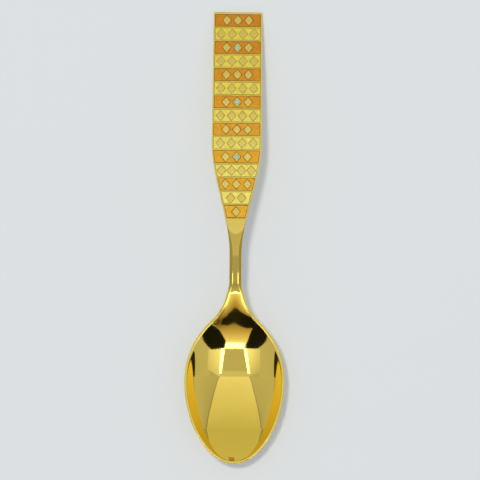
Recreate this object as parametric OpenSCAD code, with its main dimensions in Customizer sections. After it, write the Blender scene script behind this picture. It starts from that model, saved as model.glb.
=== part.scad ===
// Teaspoon struck from one strip of metal, with enamel bands fired into the face of its handle.
// Lengths are in mm. The bowl tip points to -Y, the handle end to +Y, and the spoon lies bowl up.

/* [Overall] */
// Length from the bowl tip to the handle end
overall_length = 155; // [140:1:180]

/* [Bowl] */
// Length of the bowl from its tip to the neck where it meets the stem
bowl_length = 58; // [50:0.5:66]
// Widest part of the bowl
bowl_width = 34.3; // [28:0.1:40]
// Distance of the widest part from the tip
bowl_widest = 28.4; // [24:0.1:33]
// Point of the round end of the bowl, where 1 is a true ellipse and more is sharper
bowl_tip_point = 1.12; // [0.8:0.02:1.4]
// Inside depth below the rim
bowl_depth = 8.2; // [6:0.1:10]
// Distance of the deepest point from the tip
bowl_deepest = 26.1; // [24:0.1:29]
// Roundness across the hollow at its widest, where 1 is a parabola and less is flatter with steeper walls
bowl_roundness = 0.8; // [0.6:0.05:1]
// Roundness across the hollow at the tip
tip_roundness = 0.45; // [0.3:0.05:1]
// Roundness across the hollow at the shoulders
shoulder_roundness = 1.1; // [1:0.05:1.5]
// Roundness along the hollow from its deepest point to the brow
back_roundness = 1.5; // [1:0.05:1.6]
// Metal under the deepest point
bowl_wall = 1.2; // [0.8:0.1:2]
// Height of the rim edge
rim_edge = 0.9; // [0.8:0.05:1.4]
// Width of the flat top of the rim
rim_land = 0.35; // [0.2:0.05:0.6]
// Rounding of the rim edge
rim_round = 0.4; // [0.2:0.05:0.4]
// Height over which the rim lifts out of its flat plane to meet the neck
rim_lift = 3.5; // [2:0.1:5]
// Distance that the hollow runs on past the neck to the brow
brow_reach = 1.6; // [0:0.1:3]
// Length over which the brow inside is rounded
brow_round = 0.6; // [0.4:0.1:2.5]
// Length over which the heel underneath is rounded
heel_round = 12; // [6:0.5:16]

/* [Shoulders] */
// Distance of the shoulder line in front of the neck
shoulder_back = 9; // [7:0.5:12]
// Width across the bowl at the shoulder line
shoulder_width = 16.4; // [13:0.1:20]
// Inward slope of each side at the shoulder line
shoulder_slope = 1; // [0.7:0.05:1.2]
// Width of the neck
neck_width = 6.1; // [5:0.1:8]
// Inward slope of each side at the neck
neck_slope = 0.18; // [0.05:0.01:0.3]
// Length over which the metal thickens from bowl to stem
thicken_length = 18; // [12:0.5:24]

/* [Stem] */
// Distance from the neck to the start of the slender stem
neck_length = 4; // [3:0.5:8]
// Length of the slender stem
stem_length = 10; // [6:0.5:14]
// Width of the slender stem
stem_width = 4.25; // [3.5:0.05:6]
// Thickness of the slender stem
stem_thickness = 3.2; // [2.6:0.1:4.5]
// Rounded belly under the stem
stem_belly = 0.6; // [0.3:0.1:1]
// Rise of the rounded top of the stem
stem_crown = 0.15; // [0.1:0.05:0.5]
// Rounding of the stem edges
stem_round = 1.05; // [0.5:0.05:1.1]

/* [Handle] */
// Length of the flare from the stem to the start of the enamel
flare_length = 12.3; // [10:0.1:18]
// Width where the enamel starts
flare_width = 7.4; // [6:0.1:9]
// Outward slope of each side where the enamel starts
flare_slope = 0.21; // [0.15:0.01:0.25]
// Length of the taper from the start of the enamel to the full width
taper_length = 25.5; // [22:0.5:34]
// Full width of the handle
handle_width = 17.1; // [14:0.1:20]
// Width at the square end
handle_end_width = 16.6; // [13:0.1:20]
// Thickness where the enamel starts
handle_thickness = 2.2; // [1.8:0.1:3]
// Thickness at the end
handle_end_thickness = 1.8; // [1.6:0.1:2.6]
// Rounding of the handle edges
handle_round = 0.3; // [0.15:0.05:0.5]
// Radius of the long bend of the handle
handle_bend = 190; // [170:5:230]
// Distance from the end of the stem to the top of the bend
crest_offset = 11; // [5:0.5:12]

/* [Enamel] */
// Number of enamel bands
band_count = 15; // [13:1:17]
// Metal edge along each side of the enamel
side_rim = 0.5; // [0.4:0.05:0.8]
// Metal edge at the handle end
end_rim = 0.7; // [0.5:0.05:1.2]
// Metal wall between two bands
band_wall = 0.35; // [0.25:0.05:0.6]
// Depth of the recesses
recess_depth = 0.6; // [0.4:0.05:0.8]
// Drop of the enamel face below the metal
enamel_drop = 0.08; // [0.04:0.01:0.15]
// Fine gap round each piece of enamel
enamel_gap = 0.01; // [0.005:0.005:0.03]
// Number of narrow bands next to the stem, with two lozenges fewer than the rest
narrow_count = 2; // [2:1:4]
// Width of a gilt lozenge where the band has room for it
lozenge_width = 2.9; // [2.2:0.1:3.4]
// Length of a gilt lozenge where the band has room for it
lozenge_length = 3.3; // [2.4:0.1:3.4]
// Spacing of the lozenges across a band where it has room for it
lozenge_pitch = 3.75; // [3.2:0.05:4.4]
// Clear enamel kept round a lozenge
lozenge_margin = 0.3; // [0.2:0.05:0.6]
// Number of turquoise inlays along the middle of the handle
inlay_count = 3; // [1:1:3]
// Band that holds the first turquoise inlay
inlay_first = 5; // [3:2:5]
// Number of bands from one turquoise inlay to the next
inlay_step = 4; // [2:2:4]
// Gilt edge round a turquoise inlay
inlay_rim = 0.4; // [0.3:0.05:0.6]

/* [Hidden] */
// Steps of the loft along each stretch of the spoon
tip_steps = 24;
shoulder_steps = 14;
neck_steps = 11;
brow_steps = 7;
stem_steps = 4;
flare_steps = 9;
taper_steps = 10;
plate_steps = 8;
// Steps across a section and round each of its corners
cross_steps = 18;
corner_steps = 3;
// Steps along each side of an enamel band
band_steps = 4;
// Steps of a full turn at the radius of the bend
bend_steps = 720;
// Angle at which the round end of the bowl is trimmed to a tiny flat
tip_trim = 2.5;
// Largest part of the half width that a corner or the rim land may take
corner_share = 0.5;
// Share of the rim land that is left on the stem
land_rest = 0.1;
// Pull of the handles of a curve that stands for a quarter circle
arc_pull = 0.5523;
// Depth past a surface that a cutting tool reaches
tool_reach = 2;

// Stations along the spoon, measured from the bowl tip
shoulder_at = bowl_length - shoulder_back;
stem_at = bowl_length + neck_length;
flare_at = stem_at + stem_length;
enamel_at = flare_at + flare_length;
plate_at = enamel_at + taper_length;
crest_at = flare_at + crest_offset;
thicken_at = stem_at - thicken_length;

// Hollow behind and in front of its deepest point, with the same curvature where they meet
back_length = bowl_length + brow_reach - bowl_deepest;
front_length = bowl_deepest - rim_round - rim_land;
front_roundness = back_roundness * pow(front_length / back_length, 2);

// Knots of the outline, each with its station, half width and slope
widest_knot = [bowl_widest, bowl_width / 2, 0];
shoulder_knot = [shoulder_at, shoulder_width / 2, -shoulder_slope];
neck_knot = [bowl_length, neck_width / 2, -neck_slope];
stem_knot = [stem_at, stem_width / 2, 0];
flare_knot = [flare_at, stem_width / 2, 0];
enamel_knot = [enamel_at, flare_width / 2, flare_slope];
plate_knot = [plate_at, handle_width / 2, 0];

// Heights above the table, where the bowl and the foot of the handle end both rest
rim_z = bowl_wall + bowl_depth;
foot_at = overall_length - handle_round;
crest_z = thickness(foot_at) + bend_sag(foot_at);

// Enamel layout
enamel_length = overall_length - end_rim - enamel_at;
band_pitch = (enamel_length + band_wall) / band_count;
lozenge_along = min(lozenge_length, band_pitch - band_wall - 2 * lozenge_margin);
orange = "#d28f2c";
yellow = "#dccb55";
turquoise = "#91c6bd";
gilt = "#d8b45a";

BANDS = [for (i = [1:band_count]) str("enamel_band_", i < 10 ? "0" : "", i)];
INLAYS = [for (i = [1:inlay_count]) str("turquoise_lozenge_", i)];

// Curve helpers
function mix(a, b, t) = a + (b - a) * t;
function part_of(s, a, b) = min(max((s - a) / (b - a), 0), 1);
function ease(t) = t * t * (3 - 2 * t);
// Even curve from 0 in the middle to 1 at either side
function sweep(u, share) = u * u * (share + (1 - share) * u * u);
// The same curve, carried on straight past 1
function run_on(u, share) = u < 1 ? sweep(u, share) : 1 + (4 - 2 * share) * (u - 1);
function above_zero(v, k) = v > k ? v : v < -k ? 0 : (v + k) * (v + k) / (4 * k);
// Curve between two knots
function bridge(s, p, q) =
    let (c = q[0] - p[0], t = part_of(s, p[0], q[0]))
    mix(p[1], q[1], ease(t)) + c * t * (1 - t) * (p[2] * (1 - t) - q[2] * t);

// Outline of the spoon seen from above
function tip_half(s) =
    let (u = cos(tip_trim) * (1 - s / bowl_widest))
    bowl_width / 2 * sqrt(1 - sweep(u, bowl_tip_point));
function half_width(s) =
    s < bowl_widest ? tip_half(s)
    : s < shoulder_at ? bridge(s, widest_knot, shoulder_knot)
    : s < bowl_length ? bridge(s, shoulder_knot, neck_knot)
    : s < stem_at ? bridge(s, neck_knot, stem_knot)
    : s < flare_at ? stem_width / 2
    : s < enamel_at ? bridge(s, flare_knot, enamel_knot)
    : s < plate_at ? bridge(s, enamel_knot, plate_knot)
    : mix(handle_width / 2, handle_end_width / 2, part_of(s, plate_at, overall_length));

// Side view of the spoon
function bend_sag(s) = handle_bend - sqrt(handle_bend * handle_bend - pow(max(s - crest_at, 0), 2));
function arch_z(s) =
    s < crest_at ? bridge(s, [bowl_widest, rim_z, 0], [crest_at, crest_z, 0]) : crest_z - bend_sag(s);
// Depth of the bowl below the arch, with its meeting with the stem rounded over a length
function hollow(s, rounding) =
    s < bowl_deepest ? bowl_depth * (1 - sweep(min((bowl_deepest - s) / front_length, 1), front_roundness))
    : above_zero(
        bowl_depth * (1 - run_on((s - bowl_deepest) / back_length, back_roundness)),
        rounding * bowl_depth / back_length);
// Height of the middle line, its depth below the rims, and the height of the rims
function floor_z(s) = arch_z(s) - hollow(s, brow_round);
function dip(s) =
    s < bowl_deepest ? hollow(s, brow_round)
    : above_zero(rim_z - floor_z(s), rim_lift) * (1 - ease(part_of(s, bowl_length, stem_at)));
function top_z(s) = floor_z(s) + dip(s);
// Roundness of the hollow across the spoon
function roundness(s) =
    s < bowl_widest ? mix(tip_roundness, bowl_roundness, ease(part_of(s, 0, bowl_widest)))
    : mix(bowl_roundness, shoulder_roundness, ease(part_of(s, bowl_widest, shoulder_at)));
// Rise of the rounded top, from nothing at the bowl to nothing at the flat handle
function crown(s) =
    stem_crown * ease(part_of(s, bowl_length, stem_at)) * (1 - ease(part_of(s, flare_at, enamel_at)));
function thickness(s) =
    s < flare_at ? mix(bowl_wall, stem_thickness, ease(part_of(s, thicken_at, stem_at)))
    : s < enamel_at ? mix(stem_thickness, handle_thickness, ease(part_of(s, flare_at, enamel_at)))
    : mix(handle_thickness, handle_end_thickness, part_of(s, enamel_at, overall_length));
function edge_height(s) =
    s < flare_at ? mix(rim_edge, stem_thickness - stem_belly, ease(part_of(s, thicken_at, stem_at)))
    : thickness(s) - stem_belly * (1 - ease(part_of(s, flare_at, enamel_at)));
function corner(s) =
    s < flare_at ? mix(rim_round, stem_round, ease(part_of(s, thicken_at, stem_at)))
    : mix(stem_round, handle_round, ease(part_of(s, flare_at, enamel_at)));

// Width of the flat top of the rim, which nearly runs out on the stem
function land(s) = rim_land * mix(1, land_rest, ease(part_of(s, shoulder_at, stem_at)));
// Rounded edge from the side, at 0, to the top, at 1: how far in and how far down from the top
function edge_curve(t, r, slope) =
    let (pull = (1 - arc_pull) * r)
    [3 * (1 - t) * t * t * pull + t * t * t * r,
     (1 - t) * (1 - t) * ((1 - t) * r + 3 * t * pull) + 3 * (1 - t) * t * t * arc_pull * r * slope];

// One closed section, from the left rim over the top to the right and back underneath
function section(s, trim = 0) =
    let (
        h = half_width(s) - trim,
        top = top_z(s) - trim,
        foot = top_z(s) - edge_height(s) + trim,
        r = min(corner(s), corner_share * h, (top - foot) / 2),
        inner = h - r - min(land(s), corner_share * h),
        sink = dip(s) - crown(s),
        slope = max(-sink, 0) * (4 - 2 * roundness(s)) / inner,
        belly = max(foot - arch_z(s) + hollow(s, heel_round) + thickness(s) - trim, 0),
        y = s - overall_length / 2
    )
    concat(
        [for (i = [0:corner_steps]) let (e = edge_curve(i / corner_steps, r, slope))
            [e[0] - h, y, top - e[1]]],
        [for (i = [0:cross_steps]) let (u = 2 * i / cross_steps - 1)
            [inner * u, y, top - sink * (1 - sweep(u, roundness(s)))]],
        [for (i = [0:corner_steps]) let (e = edge_curve(1 - i / corner_steps, r, slope))
            [h - e[0], y, top - e[1]]],
        [for (i = [0:corner_steps]) let (a = 90 * i / corner_steps)
            [h - r + r * cos(a), y, foot + r - r * sin(a)]],
        [for (i = [1:cross_steps - 1]) let (u = 1 - 2 * i / cross_steps)
            [(h - r) * u, y, foot - belly * (1 - sweep(u, roundness(s)))]],
        [for (i = [0:corner_steps]) let (a = 90 * i / corner_steps)
            [r - h - r * sin(a), y, foot + r - r * cos(a)]]
    );

// Stations of the loft, closer together where the form turns faster
STATIONS = concat(
    [for (i = [0:tip_steps - 1]) bowl_widest * (1 - cos(90 * i / tip_steps))],
    [for (i = [0:shoulder_steps - 1]) mix(bowl_widest, shoulder_at, i / shoulder_steps)],
    [for (i = [0:neck_steps - 1]) mix(shoulder_at, bowl_length, i / neck_steps)],
    [for (i = [0:brow_steps - 1]) mix(bowl_length, stem_at, i / brow_steps)],
    [for (i = [0:stem_steps - 1]) mix(stem_at, flare_at, i / stem_steps)],
    [for (i = [0:flare_steps - 1]) mix(flare_at, enamel_at, i / flare_steps)],
    [for (i = [0:taper_steps - 1]) mix(enamel_at, plate_at, i / taper_steps)],
    [for (i = [0:plate_steps]) mix(plate_at, foot_at, i / plate_steps)]
);

// Skin over a list of closed sections with equal numbers of points, each end closed by a fan
module loft(sections) {
    n = len(sections[0]);
    last = len(sections) - 1;
    first_hub = n * len(sections);
    last_hub = first_hub + 1;
    polyhedron(
        points = concat([for (ring = sections) each ring], [hub(sections[0]), hub(sections[last])]),
        faces = concat(
            [for (j = [0:n - 1]) [first_hub, j, (j + 1) % n]],
            [for (i = [0:last - 1], j = [0:n - 1]) let (k = (j + 1) % n)
                each [[i * n + j, i * n + n + k, i * n + k], [i * n + j, i * n + n + j, i * n + n + k]]],
            [for (j = [0:n - 1]) [last_hub, last * n + (j + 1) % n, last * n + j]]
        )
    );
}
function hub(ring) = [for (k = [0:2]) (min([for (p = ring) p[k]]) + max([for (p = ring) p[k]])) / 2];

// Slice of the bent handle between two depths below its face
module bent_slice(deep, shallow) {
    half_arc = asin((overall_length - crest_at + tool_reach) / handle_bend);
    translate([0, crest_at - overall_length / 2, crest_z - handle_bend])
        rotate([90, 0, 90])
            rotate([0, 0, 90 - half_arc])
                rotate_extrude(angle = 2 * half_arc, $fn = bend_steps)
                    translate([handle_bend - deep, -handle_width])
                        square([deep - shallow, 2 * handle_width]);
}

// Where a band starts and ends, and half its width at a station
function band_start(i) = enamel_at + (i - 1) * band_pitch;
function band_end(i) = band_start(i) + band_pitch - band_wall;
function band_middle(i) = (band_start(i) + band_end(i)) / 2;
function band_half(s) =
    let (slope = (half_width(s + side_rim) - half_width(s)) / side_rim)
    half_width(s) - side_rim * sqrt(1 + slope * slope);

// Lozenges of a band: one or three in an odd band, two or four in an even band
function lozenge_count(i) = (i % 2 == 0 ? 2 : 1) + (i > narrow_count ? 2 : 0);
function lozenge_step(i) =
    min(lozenge_pitch, 2 * (band_half(band_middle(i)) - lozenge_margin) / lozenge_count(i));
function lozenge_across(i) = min(lozenge_width, lozenge_step(i) - lozenge_margin);
function lozenge_places(i) =
    [for (k = [1:lozenge_count(i)]) lozenge_step(i) * (k - (lozenge_count(i) + 1) / 2)];
function inlay_band(i) = inlay_first + (i - 1) * inlay_step;

module lozenge(w, l, grow) {
    side = sqrt(w * w + l * l);
    half_w = w / 2 + grow * side / l;
    half_l = l / 2 + grow * side / w;
    polygon([[half_w, 0], [0, half_l], [-half_w, 0], [0, -half_l]]);
}

// Plan of one enamel band, drawn in by a gap on every edge
module band_plan(i, gap) {
    stations = [for (j = [0:band_steps]) mix(band_start(i) + gap, band_end(i) - gap, j / band_steps)];
    right = [for (s = stations) [band_half(s) - gap, s - overall_length / 2]];
    left = [for (j = [band_steps:-1:0]) [-right[j][0], right[j][1]]];
    difference() {
        polygon(concat(right, left));
        for (x = lozenge_places(i))
            translate([x, band_middle(i) - overall_length / 2])
                lozenge(lozenge_across(i), lozenge_along, gap);
    }
}

// Plan of one turquoise inlay in the middle lozenge of its band
module inlay_plan(i, gap) {
    translate([0, band_middle(inlay_band(i)) - overall_length / 2])
        lozenge(lozenge_across(inlay_band(i)), lozenge_along, -inlay_rim - gap);
}

// A plan raised through the handle and kept between two depths below its face
module inset(deep, shallow) {
    intersection() {
        linear_extrude(crest_z + tool_reach)
            children();
        bent_slice(deep, shallow);
    }
}

// Bowl, stem and handle in one piece, with the recesses for the enamel
module spoon_blank() {
    color(gilt)
        difference() {
            loft(concat(
                [for (s = STATIONS) section(s)],
                [section(overall_length, handle_round)]
            ));
            for (i = [1:band_count])
                inset(recess_depth, -tool_reach)
                    band_plan(i, 0);
            for (i = [1:inlay_count])
                inset(recess_depth, -tool_reach)
                    inlay_plan(i, 0);
        }
}

// One band of glass in its recess
module enamel_band(i) {
    color(i % 2 == 1 ? orange : yellow)
        inset(recess_depth, enamel_drop)
            band_plan(i, enamel_gap);
}

// One small turquoise fill
module turquoise_lozenge(i) {
    color(turquoise)
        inset(recess_depth, enamel_drop)
            inlay_plan(i, enamel_gap);
}

spoon_blank();
for (i = [1:band_count])
    enamel_band(i);
for (i = [1:inlay_count])
    turquoise_lozenge(i);
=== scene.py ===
import math

import bmesh
import bpy
import numpy as np
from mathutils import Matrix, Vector


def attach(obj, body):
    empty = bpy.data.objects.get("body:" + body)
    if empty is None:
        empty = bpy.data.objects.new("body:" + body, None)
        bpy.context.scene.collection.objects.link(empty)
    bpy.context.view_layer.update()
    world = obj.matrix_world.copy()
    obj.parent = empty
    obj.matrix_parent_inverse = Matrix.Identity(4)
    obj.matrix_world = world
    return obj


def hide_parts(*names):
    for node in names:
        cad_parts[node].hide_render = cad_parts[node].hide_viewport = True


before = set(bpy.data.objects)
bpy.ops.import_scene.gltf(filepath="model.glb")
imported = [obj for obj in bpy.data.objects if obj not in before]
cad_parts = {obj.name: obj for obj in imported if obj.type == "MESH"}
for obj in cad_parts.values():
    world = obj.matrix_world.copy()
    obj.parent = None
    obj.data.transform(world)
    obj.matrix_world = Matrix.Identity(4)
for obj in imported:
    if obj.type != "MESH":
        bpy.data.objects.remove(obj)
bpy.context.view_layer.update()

# Teaspoon struck from one strip of metal, gilded, with glass bands fired into the face of its handle.
# Sizes are in mm and follow the part's source, apart from a rounder brow. The mesh is made in metres.
MM = 0.001

# Bowl
overall_length = 155
bowl_length = 58
bowl_width = 34.3
bowl_widest = 28.4
bowl_tip_point = 1.12
bowl_depth = 8.2
bowl_deepest = 26.1
bowl_roundness = 0.8
tip_roundness = 0.45
shoulder_roundness = 1.1
back_roundness = 1.5
bowl_wall = 1.2
rim_edge = 0.9
rim_land = 0.35
rim_round = 0.4
rim_lift = 3.5
brow_reach = 1.6
brow_round = 1.6
heel_round = 12

# Shoulders, neck and stem
shoulder_at = 49
shoulder_width = 16.4
shoulder_slope = 1
neck_width = 6.1
neck_slope = 0.18
stem_at = 62
thicken_at = 44
flare_at = 72
stem_width = 4.25
stem_thickness = 3.2
stem_belly = 0.6
stem_crown = 0.15
stem_round = 1.05

# Handle
enamel_at = 84.3
flare_width = 7.4
flare_slope = 0.21
plate_at = 109.8
handle_width = 17.1
handle_end_width = 16.6
handle_thickness = 2.2
handle_end_thickness = 1.8
handle_round = 0.3
handle_bend = 190
crest_at = 83
corner_share = 0.5
land_rest = 0.1
arc_pull = 0.5523
polish = 0.003

# Sheet that the spoon is struck from: columns across, loops round its edge, and rows to each stretch
columns = 40
edge_loops = 8
under_loops = 4
arc_steps = 3
tip_angle = 4
tip_rows = 33
tip_blend = 3
brow_rows_start = 56
brow_rows_end = 60.5
last_full_row = 153.8
stretches = [
    (bowl_widest, shoulder_at, 20),
    (shoulder_at, brow_rows_start, 12),
    (brow_rows_start, brow_rows_end, 20),
    (brow_rows_end, flare_at, 18),
    (flare_at, enamel_at, 15),
    (enamel_at, plate_at, 20),
    (plate_at, last_full_row, 20),
]
metal_smooth = 35

# Glass
enamel_drop = 0.08
glass_edge = 0.15
inlay_edge = 0.06
glass_dip = 0.05
glass_squares = 0.12
inlay_squares = 0.06
slab_depth = 1.5
wall_slack = 0.05
cutter_rise = 1.0
merge_gap = 0.002
sliver = 0.01
facing_up = 0.9
facing_aside = 0.5
glass_smooth = 40

# Gold
gold_deep = (0.92, 0.695, 0.133)
gold_light = (0.98, 0.75, 0.167)
# Painted dark reflection: darker gold for the stem and flare.
stem_gold_painted_dark = (0.61, 0.455, 0.09)
gold_face = (0.84, 0.65, 0.155)
gold_satin = (1.0, 0.78, 0.24)
mirror_roughness = 0.03
satin_roughness = 0.22
wear_roughness = 0.03
cloud_scale = 140
polish_scale = 2600
polish_stretch = (1, 0.02, 1)
polish_depth = 0.002
polish_strength = 0.25
brow_at = 58.5
satin_at = 78.8
satin_fade = 0.4
satin_bow = 0.25

# Colours of the glass at the stem and at the handle end, then the painted shade of the dark line along the
# metal
orange_glass = ((0.77, 0.40, 0.015), (0.575, 0.215, 0.006), (0.07, 0.024, 0.003))
yellow_glass = ((0.80, 0.71, 0.135), (0.715, 0.585, 0.06), (0.3, 0.21, 0.02))
turquoise_glass = ((0.30, 0.61, 0.55), (0.30, 0.61, 0.55), (0.06, 0.10, 0.05))
glass_roughness = 0.28
glass_gloss = 0.25
coat_weight = 0.15
coat_roughness = 0.08
speckle_scale = 900
speckle_range = (0.3, 0.7)
speckle_tones = (0.86, 1.1)
speckle_depth = 0.01
speckle_strength = 0.2


# ---------------------------------------------------------------- curves of the spoon

def mix(a, b, t):
    return a + (b - a) * t


def part_of(s, a, b):
    return min(max((s - a) / (b - a), 0), 1)


def ease(t):
    return t * t * (3 - 2 * t)


def sweep(u, share):
    return u * u * (share + (1 - share) * u * u)


def run_on(u, share):
    return sweep(u, share) if u < 1 else 1 + (4 - 2 * share) * (u - 1)


def above_zero(v, k):
    return v if v > k else 0 if v < -k else (v + k) * (v + k) / (4 * k)


def bridge(s, p, q):
    length = q[0] - p[0]
    t = part_of(s, p[0], q[0])
    return mix(p[1], q[1], ease(t)) + length * t * (1 - t) * (p[2] * (1 - t) - q[2] * t)


handle_slope = (handle_end_width - handle_width) / 2 / (overall_length - plate_at)
outline_knots = [
    (bowl_widest, bowl_width / 2, 0),
    (shoulder_at, shoulder_width / 2, -shoulder_slope),
    (bowl_length, neck_width / 2, -neck_slope),
    (stem_at, stem_width / 2, 0),
    (flare_at, stem_width / 2, 0),
    (enamel_at, flare_width / 2, flare_slope),
    (plate_at, handle_width / 2, 0),
    (overall_length, handle_end_width / 2, handle_slope),
]


def half_width(s):
    if s < bowl_widest:
        return bowl_width / 2 * math.sqrt(max(1 - sweep(1 - s / bowl_widest, bowl_tip_point), 0))
    if s >= plate_at:
        return mix(handle_width / 2, handle_end_width / 2, part_of(s, plate_at, overall_length))
    for p, q in zip(outline_knots, outline_knots[1:]):
        if s < q[0]:
            return bridge(s, p, q)
    return handle_end_width / 2


def outline_normal(s):
    """Outward direction of the right-hand edge, across and along the spoon."""
    if s < bowl_widest:
        w = 1 - s / bowl_widest
        across = 8 * half_width(s) / bowl_width ** 2
        along = -(2 * bowl_tip_point * w + 4 * (1 - bowl_tip_point) * w ** 3) / bowl_widest
    else:
        reach = 0.05
        across = 1
        along = -(half_width(s + reach) - half_width(s - reach)) / (2 * reach)
    size = math.hypot(across, along)
    return across / size, along / size


def bend_sag(s):
    return handle_bend - math.sqrt(handle_bend ** 2 - max(s - crest_at, 0) ** 2)


def thickness(s):
    if s < flare_at:
        return mix(bowl_wall, stem_thickness, ease(part_of(s, thicken_at, stem_at)))
    if s < enamel_at:
        return mix(stem_thickness, handle_thickness, ease(part_of(s, flare_at, enamel_at)))
    return mix(handle_thickness, handle_end_thickness, part_of(s, enamel_at, overall_length))


def edge_height(s):
    if s < flare_at:
        return mix(rim_edge, stem_thickness - stem_belly, ease(part_of(s, thicken_at, stem_at)))
    return thickness(s) - stem_belly * (1 - ease(part_of(s, flare_at, enamel_at)))


rim_z = bowl_wall + bowl_depth
crest_z = thickness(overall_length - handle_round) + bend_sag(overall_length - handle_round)


def arch_z(s):
    if s < crest_at:
        return bridge(s, (bowl_widest, rim_z, 0), (crest_at, crest_z, 0))
    return crest_z - bend_sag(s)


back_length = bowl_length + brow_reach - bowl_deepest
front_length = bowl_deepest - rim_round - rim_land
front_roundness = back_roundness * (front_length / back_length) ** 2


def hollow(s, rounding):
    if s < bowl_deepest:
        return bowl_depth * (1 - sweep(min((bowl_deepest - s) / front_length, 1), front_roundness))
    fall = run_on((s - bowl_deepest) / back_length, back_roundness)
    return above_zero(bowl_depth * (1 - fall), rounding * bowl_depth / back_length)


def floor_z(s):
    return arch_z(s) - hollow(s, brow_round)


def dip(s):
    if s < bowl_deepest:
        return hollow(s, brow_round)
    return above_zero(rim_z - floor_z(s), rim_lift) * (1 - ease(part_of(s, bowl_length, stem_at)))


def top_z(s):
    return floor_z(s) + dip(s)


def roundness(s):
    if s < bowl_widest:
        return mix(tip_roundness, bowl_roundness, ease(part_of(s, 0, bowl_widest)))
    return mix(bowl_roundness, shoulder_roundness, ease(part_of(s, bowl_widest, shoulder_at)))


def crown(s):
    return stem_crown * ease(part_of(s, bowl_length, stem_at)) * (1 - ease(part_of(s, flare_at, enamel_at)))


def corner(s):
    if s < flare_at:
        r = mix(rim_round, stem_round, ease(part_of(s, thicken_at, stem_at)))
    else:
        r = mix(stem_round, handle_round, ease(part_of(s, flare_at, enamel_at)))
    return min(r, corner_share * max(half_width(s), rim_round / corner_share), edge_height(s) / 2)


def land(s):
    return rim_land * mix(1, land_rest, ease(part_of(s, shoulder_at, stem_at)))


def edge_curve(t, r, slope):
    """Rounded edge from the side, at 0, to the top, at 1: how far in and how far down from the top."""
    pull = (1 - arc_pull) * r
    inward = 3 * (1 - t) * t * t * pull + t ** 3 * r
    down = (1 - t) ** 2 * ((1 - t) * r + 3 * t * pull) + 3 * (1 - t) * t * t * arc_pull * r * slope
    return inward, down


# ---------------------------------------------------------------- hand tools

def lay_aside():
    if bpy.context.object and bpy.context.object.mode != "OBJECT":
        bpy.ops.object.mode_set(mode="OBJECT")
    bpy.ops.object.select_all(action="DESELECT")


def take(piece):
    lay_aside()
    bpy.context.view_layer.objects.active = piece
    piece.select_set(True)


def pick(piece, kind, test):
    """Selects the faces, edges or verts of the open piece that pass the test."""
    bpy.ops.mesh.select_mode(type={"faces": "FACE", "edges": "EDGE", "verts": "VERT"}[kind])
    bpy.ops.mesh.select_all(action="DESELECT")
    work = bmesh.from_edit_mesh(piece.data)
    for part in getattr(work, kind):
        if test(part):
            part.select_set(True)
    work.select_flush_mode()
    bmesh.update_edit_mesh(piece.data)


def finish_with(piece, kind, **settings):
    take(piece)
    tool = piece.modifiers.new(kind.title(), kind)
    for name, value in settings.items():
        setattr(tool, name, value)
    bpy.ops.object.modifier_apply(modifier=tool.name)


# ---------------------------------------------------------------- metal

def row_stations():
    angles = [math.radians(mix(tip_angle, 90, i / tip_rows)) for i in range(tip_rows)]
    rows = [bowl_widest * (1 - math.cos(angle)) for angle in angles]
    for start, end, count in stretches:
        rows += [mix(start, end, i / count) for i in range(count)]
    return rows + [stretches[-1][1], overall_length]


def struck_point(across, s, level, at_tip, at_end):
    """Place of one point of the sheet: level counts the loops of the edge, from underneath to the top."""
    r = corner(s)
    sink = dip(s) - crown(s)
    slope = -sink * (4 - 2 * roundness(s)) / (half_width(s) - r - land(s)) if sink < 0 else 0
    underneath = level < under_loops
    if underneath:
        inset, drop = edge_curve(1 - level / arc_steps, r, 0)
    elif level < edge_loops:
        inset, drop = edge_curve((level - under_loops) / arc_steps, r, slope)
    else:
        inset, drop = r + land(s), 0
    out, along = outline_normal(s)
    if at_end:
        out, along = 1, 1
    x = across * (half_width(s) - inset * out)
    y = s - inset * along
    if at_tip and abs(across) < 1:
        y = s + inset
    at = min(y, overall_length - handle_round)
    height = top_z(at) - edge_height(at) + drop if underneath else top_z(at) - drop - polish
    if level == edge_loops:
        height -= (dip(at) - crown(at)) * (1 - sweep(across, roundness(at)))
    if level == 0:
        spare = (thickness(at) - edge_height(at)) * ease(part_of(at, row_start, tip_blend))
        belly = max(top_z(at) - arch_z(at) + hollow(at, heel_round) + spare, 0)
        height -= belly * (1 - sweep(across, roundness(at)))
    return Vector((x, y - overall_length / 2, height)) * MM


rows = row_stations()
row_start = rows[0]
last_row = len(rows) - 1


def strike_spoon():
    lay_aside()
    bpy.ops.mesh.primitive_grid_add(x_subdivisions=columns, y_subdivisions=last_row, size=1)
    spoon = bpy.context.object
    spoon.name = spoon.data.name = "struck_spoon"
    bpy.ops.object.mode_set(mode="EDIT")
    bpy.ops.mesh.select_all(action="SELECT")
    bpy.ops.mesh.extrude_region_move(TRANSFORM_OT_translate={"value": (0, 0, edge_loops)})
    pick(spoon, "edges", lambda edge: abs(edge.verts[0].co.z - edge.verts[1].co.z) > edge_loops / 2)
    bpy.ops.mesh.subdivide(number_cuts=edge_loops - 1)
    bpy.ops.object.mode_set(mode="OBJECT")
    for point in spoon.data.vertices:
        column = round((point.co.x + 0.5) * columns)
        row = round((point.co.y + 0.5) * last_row)
        t = 2 * column / columns - 1
        across = (t + math.sin(math.pi / 2 * t)) / 2
        point.co = struck_point(across, rows[row], round(point.co.z), row == 0, row == last_row)
    bpy.ops.object.mode_set(mode="EDIT")
    bpy.ops.mesh.select_all(action="SELECT")
    bpy.ops.mesh.normals_make_consistent(inside=False)
    bpy.ops.object.mode_set(mode="OBJECT")
    finish_with(spoon, "SUBSURF", levels=1, render_levels=1)
    return spoon


# ---------------------------------------------------------------- glass

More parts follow.
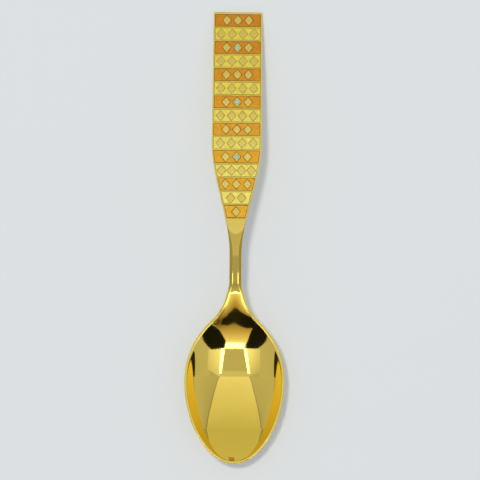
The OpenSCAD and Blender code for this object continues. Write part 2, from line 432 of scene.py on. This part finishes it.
def copy_of(node, name):
    """Copy of one solid of the part, merged and open for work."""
    piece = bpy.data.objects.new(name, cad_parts[node].data.copy())
    piece.data.name = name
    bpy.context.scene.collection.objects.link(piece)
    take(piece)
    bpy.ops.object.mode_set(mode="EDIT")
    bpy.ops.mesh.select_all(action="SELECT")
    bpy.ops.mesh.remove_doubles(threshold=merge_gap * MM)
    bpy.ops.mesh.normals_make_consistent(inside=False)
    return piece


def is_top(face):
    return face.normal.z > facing_up


def cut_recesses(spoon, glass_nodes):
    cutters = []
    for node in glass_nodes:
        cutter = copy_of(node, "cutter")
        pick(cutter, "faces", is_top)
        bpy.ops.transform.translate(value=(0, 0, cutter_rise * MM))
        lay_aside()
        cutters.append(cutter)
    for cutter in cutters:
        cutter.select_set(True)
    bpy.context.view_layer.objects.active = cutters[0]
    bpy.ops.object.join()
    die = bpy.context.object
    finish_with(spoon, "BOOLEAN", operation="DIFFERENCE", solver="MANIFOLD", object=die)
    bpy.data.objects.remove(die)


def face_z(y):
    """Height of the enamel's face, in metres."""
    return (arch_z(y / MM + overall_length / 2) - enamel_drop) * MM


def wall_lines(recess):
    """Top edges of a recess's walls, seen from above: where each starts and ends."""
    work = bmesh.from_edit_mesh(recess.data)
    starts, ends = [], []
    for edge in work.edges:
        at_top = all(v.co.z > face_z(v.co.y) - wall_slack * MM for v in edge.verts)
        walls = (f for f in edge.link_faces if abs(f.normal.z) < facing_aside)
        if at_top and any(wall.calc_area() > (sliver * MM) ** 2 for wall in walls):
            starts.append(edge.verts[0].co.xy)
            ends.append(edge.verts[1].co.xy)
    return np.array(starts), np.array(ends)


def off_wall(point, starts, ends):
    """Distance from a point of the glass to the nearest wall, in mm."""
    run = ends - starts
    away = np.array(point.xy) - starts
    t = np.clip((away * run).sum(1) / (run * run).sum(1), 0, 1)
    return np.hypot(*(away - run * t[:, None]).T).min() / MM


def pour_glass(node, name, edge, square):
    """Slab of fine squares trimmed to one recess, with its face drawn down along the walls."""
    recess = copy_of(node, "recess")
    walls = wall_lines(recess)
    pick(recess, "faces", is_top)
    bpy.ops.transform.translate(value=(0, 0, cutter_rise * MM))
    lay_aside()
    xs, ys = [[point.co[axis] for point in recess.data.vertices] for axis in (0, 1)]
    left, right = min(xs) - square * MM, max(xs) + square * MM
    near, far = min(ys) - square * MM, max(ys) + square * MM
    bpy.ops.mesh.primitive_grid_add(
        x_subdivisions=round((right - left) / square / MM),
        y_subdivisions=round((far - near) / square / MM),
        size=1,
    )
    glass = bpy.context.object
    glass.name = glass.data.name = name
    bpy.ops.object.mode_set(mode="EDIT")
    bpy.ops.mesh.select_all(action="SELECT")
    bpy.ops.mesh.extrude_region_move(TRANSFORM_OT_translate={"value": (0, 0, -1)})
    bpy.ops.object.mode_set(mode="OBJECT")
    for point in glass.data.vertices:
        y = mix(near, far, point.co.y + 0.5)
        point.co = mix(left, right, point.co.x + 0.5), y, face_z(y) + point.co.z * slab_depth * MM
    bpy.ops.object.mode_set(mode="EDIT")
    bpy.ops.mesh.select_all(action="SELECT")
    bpy.ops.mesh.normals_make_consistent(inside=False)
    finish_with(glass, "BOOLEAN", operation="INTERSECT", solver="MANIFOLD", object=recess)
    bpy.data.objects.remove(recess)
    # Painted shade: this attribute darkens the glass in a line along the metal walls.
    wall_shade = glass.data.attributes.new("painted_wall_shade", "FLOAT", "POINT")
    for point in glass.data.vertices:
        near_wall = 1
        if point.co.z > face_z(point.co.y) - wall_slack * MM:
            near_wall = 1 - ease(part_of(off_wall(point.co, *walls), edge / 2, edge * 1.5))
            point.co.z -= glass_dip * MM * near_wall
        wall_shade.data[point.index].value = near_wall
    lay_aside()
    return glass


# ---------------------------------------------------------------- finishes

def new_finish(name):
    finish = bpy.data.materials.new(name)
    finish.use_nodes = True
    nodes = finish.node_tree.nodes
    return finish, nodes, finish.node_tree.links, nodes["Principled BSDF"]


def add_node(nodes, kind, **inputs):
    node = nodes.new(kind)
    for name, value in inputs.items():
        node.inputs[name.replace("_", " ")].default_value = value
    return node


def along_spoon(nodes, links, place, start, end, low, high, bow=0):
    """Value that changes from low to high between two stations, on lines that bow towards the bowl."""
    split = nodes.new("ShaderNodeSeparateXYZ")
    links.new(place.outputs["Object"], split.inputs[0])
    square = nodes.new("ShaderNodeMath")
    square.operation = "MULTIPLY"
    links.new(split.outputs["X"], square.inputs[0])
    links.new(split.outputs["X"], square.inputs[1])
    station = nodes.new("ShaderNodeMath")
    station.operation = "MULTIPLY_ADD"
    station.inputs[1].default_value = -bow / MM
    links.new(square.outputs[0], station.inputs[0])
    links.new(split.outputs["Y"], station.inputs[2])
    change = nodes.new("ShaderNodeMapRange")
    change.interpolation_type = "SMOOTHSTEP"
    change.inputs["From Min"].default_value = (start - overall_length / 2) * MM
    change.inputs["From Max"].default_value = (end - overall_length / 2) * MM
    change.inputs["To Min"].default_value = low
    change.inputs["To Max"].default_value = high
    links.new(station.outputs[0], change.inputs["Value"])
    return change.outputs["Result"]


def grain(nodes, links, place, stretch, scale, detail):
    """Fine texture, stretched along the spoon when the middle value is small."""
    fit = nodes.new("ShaderNodeMapping")
    fit.inputs["Scale"].default_value = stretch
    links.new(place.outputs["Object"], fit.inputs["Vector"])
    noise = add_node(nodes, "ShaderNodeTexNoise", Scale=scale, Detail=detail)
    links.new(fit.outputs["Vector"], noise.inputs["Vector"])
    return noise.outputs["Fac"]


def two_tone(nodes, links, factor, low, high):
    """Blend of two tones, each a colour or the outlet of another node."""
    tone = nodes.new("ShaderNodeMix")
    tone.data_type = "RGBA"
    for inlet, colour in ((tone.inputs[6], low), (tone.inputs[7], high)):
        if isinstance(colour, tuple):
            inlet.default_value = (*colour, 1)
        else:
            links.new(colour, inlet)
    links.new(factor, tone.inputs[0])
    return tone.outputs[2]


def gilt_finish():
    """Gold, mirror bright in the bowl and stem, satin on the face of the handle, with a painted dark
    reflection on the stem.
    """
    finish, nodes, links, shader = new_finish("gilt_metal")
    shader.inputs["Metallic"].default_value = 1
    place = nodes.new("ShaderNodeTexCoord")
    clouds = grain(nodes, links, place, (1, 1, 1), cloud_scale, 2)
    bowl = two_tone(nodes, links, clouds, gold_deep, gold_light)
    # Painted dark reflection: the gold darkens past the brow, along the stem.
    stem_dark_reflection_mask = along_spoon(nodes, links, place, brow_at, stem_at, 0, 1)
    stem = two_tone(nodes, links, stem_dark_reflection_mask, bowl, stem_gold_painted_dark)
    up_handle = along_spoon(nodes, links, place, enamel_at, plate_at, 0, 1)
    face = two_tone(nodes, links, up_handle, gold_face, gold_satin)
    satin_start, satin_end = satin_at - satin_fade, satin_at + satin_fade
    on_face = along_spoon(nodes, links, place, satin_start, satin_end, 0, 1, satin_bow)
    links.new(two_tone(nodes, links, on_face, stem, face), shader.inputs["Base Color"])
    polish_lines = grain(nodes, links, place, polish_stretch, polish_scale, 3)
    satin = along_spoon(
        nodes, links, place, satin_start, satin_end, mirror_roughness, satin_roughness, satin_bow)
    wear = nodes.new("ShaderNodeMath")
    wear.operation = "MULTIPLY_ADD"
    wear.inputs[1].default_value = wear_roughness
    links.new(polish_lines, wear.inputs[0])
    links.new(satin, wear.inputs[2])
    links.new(wear.outputs[0], shader.inputs["Roughness"])
    bump = add_node(nodes, "ShaderNodeBump", Strength=polish_strength, Distance=polish_depth * MM)
    links.new(polish_lines, bump.inputs["Height"])
    links.new(bump.outputs["Normal"], shader.inputs["Normal"])
    return finish


def enamel_finish(name, stem_colour, end_colour, wall_shade_colour):
    """Fired glass that deepens towards the handle end, with painted shade in a dark line where it meets the
    metal.
    """
    finish, nodes, links, shader = new_finish(name)
    place = nodes.new("ShaderNodeTexCoord")
    drift = along_spoon(nodes, links, place, enamel_at, overall_length, 0, 1)
    body = two_tone(nodes, links, drift, stem_colour, end_colour)
    speckle = grain(nodes, links, place, (1, 1, 1), speckle_scale, 4)
    depth = nodes.new("ShaderNodeMapRange")
    depth.inputs["From Min"].default_value, depth.inputs["From Max"].default_value = speckle_range
    depth.inputs["To Min"].default_value, depth.inputs["To Max"].default_value = speckle_tones
    links.new(speckle, depth.inputs["Value"])
    mottled = nodes.new("ShaderNodeVectorMath")
    mottled.operation = "SCALE"
    links.new(body, mottled.inputs[0])
    links.new(depth.outputs["Result"], mottled.inputs["Scale"])
    # Painted shade: the glass turns to the dark line colour along the metal walls.
    edge = nodes.new("ShaderNodeAttribute")
    edge.attribute_name = "painted_wall_shade"
    wall_shaded = two_tone(nodes, links, edge.outputs["Fac"], mottled.outputs[0], wall_shade_colour)
    links.new(wall_shaded, shader.inputs["Base Color"])
    shader.inputs["Roughness"].default_value = glass_roughness
    shader.inputs["Specular IOR Level"].default_value = glass_gloss
    shader.inputs["Coat Weight"].default_value = coat_weight
    shader.inputs["Coat Roughness"].default_value = coat_roughness
    bump = add_node(nodes, "ShaderNodeBump", Strength=speckle_strength, Distance=speckle_depth * MM)
    links.new(speckle, bump.inputs["Height"])
    links.new(bump.outputs["Normal"], shader.inputs["Normal"])
    return finish


# ---------------------------------------------------------------- assembly

spoon = strike_spoon()
bands = sorted(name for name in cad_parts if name.startswith("enamel_band_"))
inlays = sorted(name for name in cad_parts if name.startswith("turquoise_lozenge_"))
cut_recesses(spoon, bands + inlays)
take(spoon)
bpy.ops.object.shade_smooth_by_angle(angle=math.radians(metal_smooth))
spoon.data.materials.clear()
spoon.data.materials.append(gilt_finish())
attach(spoon, "root")
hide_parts("spoon_blank")

enamels = {
    "orange_enamel": enamel_finish("orange_glass", *orange_glass),
    "yellow_enamel": enamel_finish("yellow_glass", *yellow_glass),
    "turquoise_enamel": enamel_finish("turquoise_glass", *turquoise_glass),
}
for number, node in enumerate(bands + inlays):
    if node in inlays:
        slot = "turquoise_enamel"
        glass = pour_glass(node, node + "_glass", inlay_edge, inlay_squares)
    else:
        slot = "orange_enamel" if number % 2 == 0 else "yellow_enamel"
        glass = pour_glass(node, node.replace("enamel", "glass"), glass_edge, glass_squares)
    take(glass)
    bpy.ops.object.shade_smooth_by_angle(angle=math.radians(glass_smooth))
    glass.data.materials.clear()
    glass.data.materials.append(enamels[slot])
    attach(glass, "root")
    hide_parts(node)


# ---------------------------------------------------------------- studio

floor_size = 6
floor_colour = (0.716, 0.752, 0.78)
floor_evenness = 0.3
dome_level = 0.7
dome_tint = (0.98, 1, 1.03)
dome_base = 0.4
dome_top = 0.82
dome_steps = ((0.34, 0.55), (0.5, 0.68), (0.71, 0.72))
key_size = 0.25
key_power = 22.0
key_colour = (1, 0.96, 0.89)
key_place = (-0.33, 0.3, 2)
card_centre = Vector((0, -0.05, 0.006))
card_squares = 24
white = (1, 1, 1)
cream = (1, 1, 0.85)
warm_white = (1, 0.97, 0.64)
tan = (1, 0.6, 0.15)
brown = (1, 0.65, 0.35)
dark = (0.01, 0.01, 0.01, 0.01)
post_dark = (0.02, 0.02, 0.02, 0.02)


def floor_finish():
    """Pale floor that evens out part of its light where lens and metal see it, and takes a shadow."""
    finish, nodes, links, shader = new_finish("pale_floor")
    shader.inputs["Base Color"].default_value = (*floor_colour, 1)
    shader.inputs["Roughness"].default_value = 1
    shader.inputs["Specular IOR Level"].default_value = 0
    even = add_node(nodes, "ShaderNodeEmission", Color=(*floor_colour, 1))
    path = nodes.new("ShaderNodeLightPath")
    seen = path.outputs["Is Camera Ray"]
    for ray in ("Is Glossy Ray", "Is Transmission Ray"):
        either = nodes.new("ShaderNodeMath")
        either.operation = "MAXIMUM"
        links.new(seen, either.inputs[0])
        links.new(path.outputs[ray], either.inputs[1])
        seen = either.outputs[0]
    share = nodes.new("ShaderNodeMath")
    share.operation = "MULTIPLY"
    share.inputs[1].default_value = floor_evenness
    links.new(seen, share.inputs[0])
    blend = nodes.new("ShaderNodeMixShader")
    links.new(share.outputs[0], blend.inputs[0])
    links.new(shader.outputs[0], blend.inputs[1])
    links.new(even.outputs[0], blend.inputs[2])
    links.new(blend.outputs[0], nodes["Material Output"].inputs[0])
    return finish


def towards(x, y, reach):
    """Point in a direction that leans x degrees right and y degrees to the handle from straight up."""
    lean = math.hypot(x, y)
    flat = math.sin(math.radians(lean)) / max(lean, 0.001)
    return card_centre + Vector((flat * x, flat * y, math.cos(math.radians(lean)))) * reach


def card(name, corners, tones, reach, tint=white, far_tint=None):
    """Studio card that only shows in polished metal.

    Corners and tones come in the order far left, far right, near left, near right.
    """
    lay_aside()
    bpy.ops.mesh.primitive_grid_add(x_subdivisions=card_squares, y_subdivisions=card_squares, size=1)
    sheet = bpy.context.object
    sheet.name = name
    tone = sheet.data.attributes.new("tone", "FLOAT_COLOR", "POINT")
    for point in sheet.data.vertices:
        u, v = point.co.x + 0.5, point.co.y + 0.5
        x, y, level = (mix(mix(c, d, u), mix(a, b, u), v) for a, b, c, d in (*zip(*corners), tones))
        point.co = towards(x, y, reach)
        colour = (level * mix(near, far, v) for near, far in zip(tint, far_tint or tint))
        tone.data[point.index].color = (*colour, 1)
    finish = bpy.data.materials.new(name)
    finish.use_nodes = True
    nodes = finish.node_tree.nodes
    nodes.remove(nodes["Principled BSDF"])
    glow = nodes.new("ShaderNodeEmission")
    paint = nodes.new("ShaderNodeAttribute")
    paint.attribute_name = "tone"
    finish.node_tree.links.new(paint.outputs["Color"], glow.inputs["Color"])
    finish.node_tree.links.new(glow.outputs[0], nodes["Material Output"].inputs[0])
    sheet.data.materials.append(finish)
    sheet.visible_camera = False
    sheet.visible_diffuse = False
    sheet.visible_shadow = False
    sheet.visible_transmission = False


lay_aside()
bpy.ops.mesh.primitive_plane_add(size=floor_size)
floor = bpy.context.object
floor.name = "floor"
floor.data.materials.append(floor_finish())

world = bpy.data.worlds.new("studio_dome")
bpy.context.scene.world = world
world.use_nodes = True
sky = world.node_tree
direction = sky.nodes.new("ShaderNodeTexCoord")
upward = sky.nodes.new("ShaderNodeSeparateXYZ")
fade = sky.nodes.new("ShaderNodeValToRGB")
for height, level in dome_steps:
    fade.color_ramp.elements.new(height).color = (*(level * part for part in dome_tint), 1)
fade.color_ramp.elements[0].color = (*(dome_base * part for part in dome_tint), 1)
fade.color_ramp.elements[-1].color = (*(dome_top * part for part in dome_tint), 1)
sky.links.new(direction.outputs["Generated"], upward.inputs[0])
sky.links.new(upward.outputs["Z"], fade.inputs["Fac"])
sky.links.new(fade.outputs["Color"], sky.nodes["Background"].inputs["Color"])
sky.nodes["Background"].inputs["Strength"].default_value = dome_level

key = bpy.data.objects.new("key_light", bpy.data.lights.new("key_light", "AREA"))
bpy.context.scene.collection.objects.link(key)
key.data.shape = "SQUARE"
key.data.size = key_size
key.data.energy = key_power
key.data.color = key_colour
key.location = key_place
key.rotation_euler = (-Vector(key.location)).to_track_quat("-Z", "Y").to_euler()
key.visible_glossy = False

card("top_panel", [(-65, 36), (65, 36), (-28.5, -12), (28.5, -12)],
     (0.59, 0.59, 0.89, 0.89), 1.70, white, warm_white)
card("far_card", [(-68, 78), (68, 78), (-66, 36), (66, 36)], (0.6, 0.6, 0.57, 0.57), 1.71, warm_white)
card("brown_card", [(-2, 74), (10, 74), (-1, 66), (9, 66)], (0.25, 0.25, 0.45, 0.45), 1.69, brown)
card("left_wall", [(-84, 38), (-64, 38), (-84, -11), (-29, -11)], (0.55, 0.40, 0.55, 0.54), 1.72)
card("left_side", [(-84, -11), (-50, -11), (-78, -44), (-48, -44)], (0.53, 0.55, 0.51, 0.56), 1.72)
card("right_wall", [(64, 38), (84, 38), (29, -11), (84, -11)], (0.37, 0.55, 0.50, 0.56), 1.72)
card("right_side", [(50, -11), (84, -11), (48, -44), (78, -44)], (0.555, 0.53, 0.59, 0.54), 1.72)
card("grey_card_top", [(-29, -12), (29, -12), (-28, -19), (27.6, -19)], (0.66, 0.66, 0.66, 0.66), 1.66)
card("grey_card", [(-28, -19), (27.6, -19), (-24, -42), (22, -42)], (0.54, 0.54, 0.53, 0.53), 1.66)
card("left_strip", [(-30, -16), (-26, -16), (-24.2, -41.8), (-19, -41.8)], (4, 4, 5, 5), 1.62)
card("right_strip", [(25, -16), (29, -16), (20.3, -41.8), (27, -41.8)], (4, 4, 5, 5), 1.62)
card("left_glow", [(-52, -18), (-28.5, -13), (-50, -42), (-24, -42)], (0.56, 0.64, 0.72, 1.25), 1.64)
card("right_glow", [(28.5, -12), (53.6, -21), (26, -42), (51, -41)], (0.77, 0.67, 1.17, 0.77), 1.64)
card("bright_bar", [(-19, -42), (20, -42), (-22, -45.6), (18, -45.6)], (5, 5, 4, 4), 1.60)
card("tan_card", [(-24, -45.6), (19, -45.6), (-44, -58), (44, -58)],
     (1.03, 1.03, 0.05, 0.05), 1.61, tan, cream)
card("dark_end_left", [(-42, -54.6), (-27, -53.4), (-42, -75), (-27, -75)], dark, 1.60)
card("dark_middle_left", [(-27, -53.4), (-4, -53.55), (-27, -75), (-4, -75)], dark, 1.60)
card("dark_middle_right", [(-4, -53.55), (18, -53.9), (-4, -75), (18, -75)], dark, 1.60)
card("dark_end_right", [(18, -53.9), (31, -55.6), (18, -75), (31, -75)], dark, 1.60)
card("dark_left", [(-45, -42.1), (-23.5, -42.4), (-46, -60), (-24, -45.2)], dark, 1.60)
card("dark_right", [(22, -42.3), (46, -41.1), (19, -47.2), (46, -57.5)], dark, 1.60)
card("dark_far_left", [(-72, -47), (-45, -42.1), (-62, -66), (-46, -60)], dark, 1.60)
card("dark_far_right", [(46, -41.1), (72, -48), (46, -57.5), (62, -64)], dark, 1.60)
card("left_frame", [(-67, 36), (-64.5, 36), (-29.5, -12), (-28, -12)], (0.18, 0.3, 0.36, 0.36), 1.69)
card("right_frame", [(64.5, 36), (67, 36), (28, -12), (29.5, -12)], (0.3, 0.18, 0.36, 0.36), 1.69)
card("left_post", [(-88, -8), (-82, -8), (-82, -48), (-74, -44)], post_dark, 1.60)
card("right_post", [(82, -8), (88, -8), (76, -34), (84, -38)], post_dark, 1.60)

# ---------------------------------------------------------------- camera

pixel = 0.3427 * MM
frame_pixels = 480
camera_right = 4.25
camera_down = 2.15
camera_turn = 0.57
camera_height = 3.0
spoon_height = 0.008
sensor_width = 36

camera = bpy.data.objects.new("camera", bpy.data.cameras.new("camera"))
bpy.context.scene.collection.objects.link(camera)
bpy.context.scene.camera = camera
camera.data.sensor_width = sensor_width
camera.data.lens = sensor_width * (camera_height - spoon_height) / (frame_pixels * pixel)
camera.location = (camera_right * pixel, -camera_down * pixel, camera_height)
camera.rotation_euler = (0, 0, math.radians(camera_turn))

bpy.context.scene.view_settings.view_transform = "Standard"
